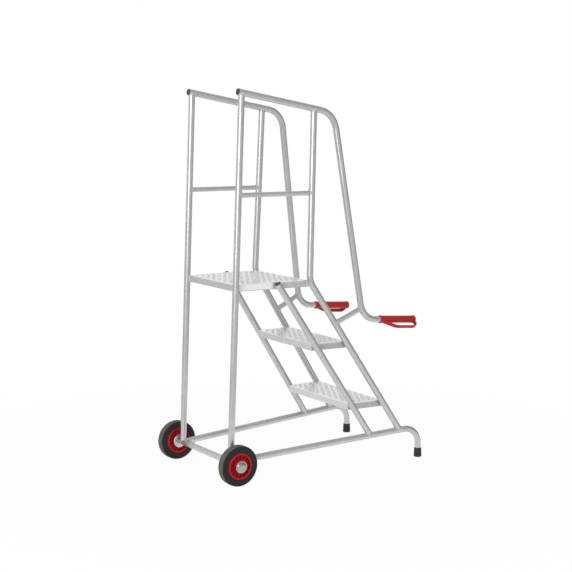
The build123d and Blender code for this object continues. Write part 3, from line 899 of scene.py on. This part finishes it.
class STEPS_OT_wheels(bpy.types.Operator):
    """Makes the rounded tyres, the moulded wheel centres, the hub caps and the hub shields"""

    bl_idname = "steps.wheels"
    bl_label = "Wheels"

    lip_flat = 0.65
    lip_sink = 0.0012
    rib_draft = 0.0009
    rib_columns = 24

    def tyre_profile(self):
        """Half section of the tyre, then its mirror: bead, wall with two moulded steps, shoulder arc and low
        crown. The bead's points are rise and depth, the crown's are drop and distance from the middle."""
        bead_edge = ((0.0, 0.003), (0.001, 0.0004), (0.0025, 0.0))
        crown = ((0.0002, 0.006), (0.0001, 0.0006), (0.0, 0.0))
        shoulder = 0.010
        shoulder_r = TYRE_R - shoulder
        shoulder_sink = 0.0004
        step_edge = 0.002
        slope = 0.0008
        wall = TYRE_HALF_W
        sunk = wall - 0.0006
        inner_step = BEAD_SEAT_R + 0.006
        outer_step = shoulder_r - 0.004
        half = [(BEAD_SEAT_R + rise, wall - depth) for rise, depth in bead_edge]
        half += [(inner_step, wall), (inner_step + slope, sunk), (outer_step - slope, sunk),
                 (outer_step, wall), (shoulder_r - step_edge, wall)]
        half += arc((shoulder_r - shoulder_sink, wall - shoulder), shoulder, 90, 8, 14).tolist()
        half += [(TYRE_R - drop, along) for drop, along in crown]
        return half + [(radius, -along) for radius, along in reversed(half[:-1])]

    def centre_grid(self, centre):
        """Wheel centre: a closed section of rim, lip, recess, hub and bore, carried round the axle. On the
        recess the distance along the axle grows by rise s(d), where d = r |a - a_rib| is the distance across
        the nearest rib and s falls smoothly from one to zero over the rib's draft."""
        edge = 0.001
        lip = arc((0, 0), RIM_LIP_W / 2, 0, 180, 11) * (1.0, self.lip_flat)
        lip += (BEAD_SEAT_R - RIM_LIP_W / 2, TYRE_HALF_W - self.lip_sink)
        floor = TYRE_HALF_W - RIM_RECESS
        recess = [(radius, floor) for radius in np.linspace(BEAD_SEAT_R - RIM_LIP_W, HUB_R, 12)]
        hub = [(HUB_R, HUB_FACE - edge), (HUB_R - edge, HUB_FACE), (BORE_R, HUB_FACE)]
        half = np.array(lip.tolist() + recess + hub)
        ribbed = np.zeros(len(half))
        ribbed[len(lip):len(lip) + len(recess)] = 1
        radius = np.concatenate((half[:, 0], half[::-1, 0]))[:, None]
        along = np.concatenate((half[:, 1], -half[::-1, 1]))[:, None]
        ribbed = np.concatenate((ribbed, -ribbed[::-1]))[:, None]
        columns = RIB_COUNT * self.rib_columns
        pitch = 2 * math.pi / RIB_COUNT
        off = np.abs((full_turn(columns) + pitch / 2) % pitch - pitch / 2)
        share = np.clip((RIB_T / 2 + self.rib_draft - radius * off) / self.rib_draft, 0, 1)
        along = along + RIB_RISE * ribbed * share ** 2 * (3 - 2 * share)
        ring = circle(columns, X_AXIS, Z_AXIS)
        return centre + radius[:, :, None] * ring + along[:, :, None] * Y_AXIS, True, True

    def cap_profile(self):
        """Section of a hub cap: a flat flange with a rounded edge, then a quarter ellipse to the middle."""
        edge = 0.001
        flange = 0.0028
        rim = arc((CAP_R - edge, HUB_FACE + flange - edge), edge, 0, 80, 5).tolist()
        dome = arc((0, 0), 1.0, 0, 90, 18) * (CAP_DOME_R, CAP_H - flange) + (0, HUB_FACE + flange)
        return [(0.0, HUB_FACE), (CAP_R, HUB_FACE)] + rim + dome.tolist()

    def shield_profile(self):
        """Section of a hub shield: a rim folded over the hub, then a quarter ellipse to the flat middle."""
        inner_r = SHIELD_R - 0.0012
        inside = HUB_FACE + 0.0002
        fold = HUB_FACE - 0.003
        back = [(SHIELD_HOLE_R, inside), (inner_r, inside), (inner_r, fold), (SHIELD_R, fold)]
        dome = arc((0, 0), 1.0, 0, 90, 12) * (SHIELD_R - SHIELD_FLAT_R, SHIELD_T) + (SHIELD_FLAT_R, HUB_FACE)
        return back + dome.tolist() + [(SHIELD_HOLE_R, HUB_FACE + SHIELD_T)]

    def execute(self, context):
        turns = context.scene.steps_details.turns
        for word, side in SIDES:
            body = f"wheel_{word}"
            centre = WHEEL_AT[body]
            rubber = lathe(self.tyre_profile(), centre, Y_AXIS, 2 * turns)
            cap = lathe(self.cap_profile(), centre, side * Y_AXIS, turns)
            shield = lathe(self.shield_profile(), centre, -side * Y_AXIS, turns)
            for node, form, grid, finish, slot in (
                    ("tyre", "rounded", (rubber, True, True), "tyre_black", "tyre_rubber"),
                    ("wheel_centre", "moulded", self.centre_grid(centre), "wheel_red", "red_plastic"),
                    ("hub_cap", "pressed", (cap, False, True), "bright_plate", "zinc"),
                    ("hub_shield", "pressed", (shield, True, True), "satin_plate", "zinc")):
                piece = surface(f"{node}_{word}_{form}", [grid], finish, body)
                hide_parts(f"{node}_{word}")
        return {"FINISHED"}


class STEPS_OT_grips(bpy.types.Operator):
    """Makes the moulded grips with their hand guards"""

    bl_idname = "steps.grips"
    bl_label = "Hand grips"

    guard_bends = (0.060, 0.012, 0.010)
    guard_step = 0.003
    guard_ring = 20
    guard_power = 0.45

    def sleeve_profile(self):
        """Section of the sleeve from its mouth to the closed end: radius and distance along the handle."""
        edge = 0.0025
        end_edge = 0.004
        neck_swell = 0.0006
        neck_from = GRIP_BEAD_L + 0.0012
        neck_to = GRIP_BEAD_L + 0.004
        flare_from = GRIP_L - GRIP_FLARE_L - 0.012
        flare_l = GRIP_L - GRIP_END_WALL - flare_from
        dish_r = 0.008
        dish_depth = 0.0006
        mouth = arc((GRIP_BEAD_R - edge, edge), edge, -90, 0, 6).tolist()
        mouth += arc((GRIP_BEAD_R - edge, GRIP_BEAD_L - edge), edge, 0, 70, 6).tolist()
        neck = [(GRIP_R + neck_swell, neck_from), (GRIP_R, neck_to)]
        share = np.linspace(0, 1, 9)
        flare_r = GRIP_R + (GRIP_BEAD_R - GRIP_R) * share ** 2
        flare = np.stack((flare_r, flare_from + flare_l * share), axis=1).tolist()
        end = arc((GRIP_BEAD_R - end_edge, GRIP_L - end_edge), end_edge, 20, 90, 7).tolist()
        dish = [(dish_r, GRIP_L), (0.0, GRIP_L - dish_depth)]
        return [(TUBE_R, 0.0)] + mouth + neck + flare + end + dish

    def guard_grid(self, origin, along, out):
        """Hand guard: a flattened round section carried along its line in the plane of along and out."""
        inside = GRIP_R - GUARD_T
        heel = GRIP_L - GUARD_T / 2
        flat = np.array(((2 * GRIP_BEAD_L, inside, 0), (GRIP_BEAD_L + GUARD_RAMP_L, GUARD_REACH, 0),
                         (heel - GUARD_HEEL_L, GUARD_REACH, 0), (heel, GUARD_REACH - GUARD_HEEL_L, 0),
                         (heel - GUARD_T, inside, 0)))
        line = even_steps(rounded(flat, self.guard_bends), self.guard_step)
        tangent = unit(np.gradient(line, axis=0))
        normal = np.stack((-tangent[:, 1], tangent[:, 0], np.zeros(len(line))), axis=1)
        wide, thick = squared_circle(self.guard_ring, self.guard_power, GUARD_W, GUARD_T)
        section = thick[:, None] * normal[:, None] + wide[:, None] * Z_AXIS
        axes = np.stack((along, out, np.cross(along, out)))
        return origin + (line[:, None] + section) @ axes, False, True

    def execute(self, context):
        details = context.scene.steps_details
        for word, side in SIDES:
            foot, end = tube_corners(side)["handrail"][2:]
            along = unit(end - foot)
            origin = end + along * (GRIP_END_WALL - GRIP_L)
            out = np.array((0.0, side * math.cos(GUARD_TILT), -math.sin(GUARD_TILT)))
            out = unit(out - along * (out @ along))
            sleeve = lathe(self.sleeve_profile(), origin, along, details.turns)
            grids = [(sleeve, False, True), self.guard_grid(origin, along, out)]
            grip = surface(f"grip_{word}_moulded", grids, "grip_red", FRAME_BODY)
            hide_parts(f"grip_{word}")
        return {"FINISHED"}


class STEPS_OT_feet(bpy.types.Operator):
    """Makes the ribbed rubber feet"""

    bl_idname = "steps.feet"
    bl_label = "Rubber feet"

    groove_heights = (0.008, 0.013, 0.018)

    def profile(self):
        """Section of a foot from the middle of its sole to its mouth: dished sole, rounded edge, grooves."""
        edge = 0.0045
        top_edge = 0.0016
        dish = 0.0016
        dish_r = 0.0085
        sole_r = 0.0105
        groove = 0.0008
        half_groove = 0.0012
        mouth = (TUBE_R - 0.0005, FOOT_H - 0.0004)
        points = [(0.0, dish), (dish_r, dish), (sole_r, 0.0)]
        points += arc((FOOT_SOLE_R - edge, edge), edge, -90, 0, 8).tolist()
        for middle in self.groove_heights:
            radius = FOOT_SOLE_R + (FOOT_TOP_R - FOOT_SOLE_R) * middle / FOOT_H
            points += [(radius, middle - half_groove), (radius - groove, middle - half_groove / 2),
                       (radius - groove, middle + half_groove / 2), (radius, middle + half_groove)]
        points += arc((FOOT_TOP_R - top_edge, FOOT_H - top_edge), top_edge, 0, 90, 6).tolist()
        return points + [mouth]

    def execute(self, context):
        details = context.scene.steps_details
        for word, side in SIDES:
            sole = base_point(FOOT_X, side) * (1, 1, 0)
            grid = lathe(self.profile(), sole, Z_AXIS, details.turns)
            foot = surface(f"foot_{word}_ribbed", [(grid, False, True)], "foot_black", FRAME_BODY,
                           sharp_deg=40)
            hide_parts(f"foot_{word}")
        return {"FINISHED"}


class STEPS_OT_plugs(bpy.types.Operator):
    """Makes the dished plugs in the open tube ends"""

    bl_idname = "steps.plugs"
    bl_label = "Tube plugs"

    def profile(self):
        """Section of a plug from the middle of its foot: a rounded edge, then a low rim round a dish."""
        edge = 0.0013
        foot_r = TUBE_R - 0.0002
        outer_r = TUBE_R - 0.0001
        rim = (0.0115, PLUG_H - 0.0001)
        dish = (0.0105, PLUG_H - 0.0008)
        middle = (0.0, PLUG_H - 0.0009)
        points = [(0.0, 0.0), (foot_r, 0.0)]
        points += arc((outer_r - edge, PLUG_H - edge), edge, 0, 90, 6).tolist()
        return points + [rim, dish, middle]

    def execute(self, context):
        details = context.scene.steps_details
        for word, side in SIDES:
            lines = tube_corners(side)
            for node, line in (("rail_plug", lines["handrail"]), ("stringer_plug", lines["front_stringer"])):
                grid = lathe(self.profile(), line[0], line[0] - line[1], details.turns)
                plug = surface(f"{node}_{word}_dished", [(grid, False, True)], "plug_black", FRAME_BODY,
                               sharp_deg=40)
                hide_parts(f"{node}_{word}")
        return {"FINISHED"}


class STEPS_OT_label(bpy.types.Operator):
    """Adds the blank label on the right skirt of the platform"""

    bl_idname = "steps.label"
    bl_label = "Blank label"

    post_clear = 0.022
    thickness = 0.0004
    outline_steps = 96
    corner_power = 0.12
    ring_sizes = (0.0, 0.6, 0.985, 1.0)

    def execute(self, context):
        details = context.scene.steps_details
        front_x, front_half, rear_x, rear_half, top_z = tray_shapes()["platform"]
        front = spot(front_x, -1, front_half, top_z - SKIRT / 2)
        rear = spot(rear_x, -1, rear_half, top_z - SKIRT / 2)
        along = unit(rear - front)
        out = np.cross(along, Z_AXIS)
        middle = front + along * (self.post_clear + details.label_length / 2)
        length, height = squared_circle(self.outline_steps, self.corner_power,
                                        details.label_length, details.label_height)
        outline = length[:, None] * along + height[:, None] * Z_AXIS
        face = middle + self.thickness * out
        rings = [face + size * outline for size in self.ring_sizes[:-1]]
        rings.append(middle + self.ring_sizes[-1] * outline)
        surface("blank_label", [(np.stack(rings), False, True)], "label_vinyl", FRAME_BODY,
                sharp_deg=30)
        return {"FINISHED"}


class STEPS_OT_stage(bpy.types.Operator):
    """Sets the floor, the soft light, the white surroundings and the camera"""

    bl_idname = "steps.stage"
    bl_label = "Stage"

    floor_half = 30.0
    floor_fade = (0.9, 2.6)
    shadow_reach = (0.7, 2.2)
    ceiling_from = (0.22, 0.70)
    side_from = (0.50, 0.90)
    backdrop_way = (0.546, 0.837, 0.0)
    backdrop_from = (-0.30, 0.40)
    key_at = (-4.2, -2.8, 2.4)
    key_aim = (0.0, 0.0, 0.9)
    key_size = 3.4
    fill_at = (1.8, -4.5, 2.6)
    fill_aim = (0.0, 0.0, 0.8)
    fill_size = 3.0
    white = (1.0, 1.0, 1.0, 1.0)

    def lay_floor(self, studio):
        """Pale floor: lit by the lamps in part, so that it keeps the shadow, white to the eye for the rest,
        and dimmer far out in gloss."""
        finish = Finish("pale_floor")
        tint = finish.spread(finish.noise(scale=3.0, detail=2.0), studio.floor, low=0.99, high=1.0)
        lit = finish.add("ShaderNodeBsdfDiffuse", None, {"Color": tint})
        far = finish.add("ShaderNodeVectorMath", {"operation": "LENGTH"}, {0: finish.place}, output="Value")
        dimmed = far.steps(*self.floor_fade) * finish.rays("Glossy")
        colour = finish.blend(dimmed, self.white, shade(self.white[:3], studio.room))
        glow = finish.add("ShaderNodeEmission", None, {"Color": colour, "Strength": 1.0})
        keep = (1.0 - far.steps(*self.shadow_reach)) * studio.floor_keep
        share = finish.seen() * (1.0 - keep)
        both = finish.add("ShaderNodeMixShader", None, {0: share, 1: lit, 2: glow})
        finish.add("ShaderNodeOutputMaterial", None, {"Surface": both}, output=None)
        half = self.floor_half
        corners = [(-half, -half, 0), (half, -half, 0), (half, half, 0), (-half, half, 0)]
        mesh = bpy.data.meshes.new("floor")
        mesh.from_pydata(corners, [], [(0, 1, 2, 3)])
        mesh.materials.append(finish.material)
        floor = bpy.data.objects.new("floor", mesh)
        bpy.context.scene.collection.objects.link(floor)

    def set_world(self, studio):
        """White to the eye. In gloss, a white backdrop, a greyer room behind the camera, a grey ceiling and
        a darker wall beyond the feet. A softer light for everything else."""
        world = bpy.data.worlds.new("white_room")
        world.use_nodes = True
        room = Nodes(world.node_tree)
        way = room.add("ShaderNodeTexCoord", output="Generated")
        rise = room.add("ShaderNodeSeparateXYZ", None, {0: way}, output=2)
        right = room.add("ShaderNodeSeparateXYZ", None, {0: way}, output=0)
        toward = room.add("ShaderNodeVectorMath", {"operation": "DOT_PRODUCT"},
                          {0: way, 1: self.backdrop_way}, output="Value")
        ceiling = 1.0 - rise.steps(*self.ceiling_from) * (1.0 - studio.ceiling)
        far_wall = 1.0 - right.steps(*self.side_from) * (1.0 - studio.side)
        near_wall = studio.room + toward.steps(*self.backdrop_from) * (1.0 - studio.room)
        walls = (ceiling * far_wall * near_wall).larger(room.rays("Camera"))
        level = studio.ambient + room.seen() * (walls - studio.ambient)
        light = room.add("ShaderNodeBackground", None, {"Color": self.white, "Strength": level})
        room.add("ShaderNodeOutputWorld", None, {"Surface": light}, output=None)
        bpy.context.scene.world = world

    def hang_lamp(self, name, place, aim, size, power, mirrored):
        """Square area lamp that faces a point, and shows in gloss if it is mirrored."""
        lamp = bpy.data.lights.new(name, "AREA")
        lamp.shape = "SQUARE"
        lamp.size = size
        lamp.energy = power
        holder = bpy.data.objects.new(name, lamp)
        holder.location = place
        holder.visible_glossy = mirrored
        toward = Vector(aim) - Vector(place)
        holder.rotation_euler = toward.to_track_quat("-Z", "Y").to_euler()
        bpy.context.scene.collection.objects.link(holder)

    def set_camera(self):
        """Camera at the place and turn that the object is shown from, with no shift."""
        data = bpy.data.cameras.new("camera")
        data.lens = CAMERA_LENS_MM
        data.sensor_width = CAMERA_SENSOR_MM
        data.sensor_fit = "HORIZONTAL"
        camera = bpy.data.objects.new("camera", data)
        camera.location = CAMERA_AT
        camera.rotation_euler = [math.radians(angle) for angle in CAMERA_TURN_DEG]
        bpy.context.scene.collection.objects.link(camera)
        bpy.context.scene.camera = camera

    def execute(self, context):
        studio = context.scene.steps_studio
        self.lay_floor(studio)
        self.set_world(studio)
        self.hang_lamp("key", self.key_at, self.key_aim, self.key_size, studio.key, mirrored=True)
        self.hang_lamp("fill", self.fill_at, self.fill_aim, self.fill_size, studio.fill, mirrored=False)
        self.set_camera()
        context.scene.view_settings.view_transform = "Standard"
        return {"FINISHED"}


class STEPS_PT_sidebar(bpy.types.Panel):
    """The operators and settings of the steps"""

    bl_idname = "STEPS_PT_sidebar"
    bl_label = "Loading bay steps"
    bl_space_type = "VIEW_3D"
    bl_region_type = "UI"
    bl_category = "Steps"

    def draw(self, context):
        for operator in OPERATORS:
            self.layout.operator(operator.bl_idname)
        for group in (context.scene.steps_finishes, context.scene.steps_details, context.scene.steps_studio):
            box = self.layout.box()
            for key in group.__annotations__:
                box.prop(group, key)


OPERATORS = (STEPS_OT_finishes, STEPS_OT_welds, STEPS_OT_tread_rims, STEPS_OT_wheels, STEPS_OT_grips,
             STEPS_OT_feet, STEPS_OT_plugs, STEPS_OT_label, STEPS_OT_stage)
GROUPS = (("steps_finishes", StepsFinishes), ("steps_details", StepsDetails), ("steps_studio", StepsStudio))


def register():
    """Adds the classes, and the settings to each scene."""
    for name, group in GROUPS:
        bpy.utils.register_class(group)
        setattr(bpy.types.Scene, name, PointerProperty(type=group))
    for item in (*OPERATORS, STEPS_PT_sidebar):
        bpy.utils.register_class(item)


def unregister():
    """Takes away what register added."""
    for item in (STEPS_PT_sidebar, *reversed(OPERATORS)):
        bpy.utils.unregister_class(item)
    for name, group in GROUPS:
        delattr(bpy.types.Scene, name)
        bpy.utils.unregister_class(group)


def main():
    """Registers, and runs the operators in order."""
    register()
    for operator in OPERATORS:
        group, word = operator.bl_idname.split(".")
        getattr(getattr(bpy.ops, group), word)()
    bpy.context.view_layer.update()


if __name__ == "__main__":
    main()
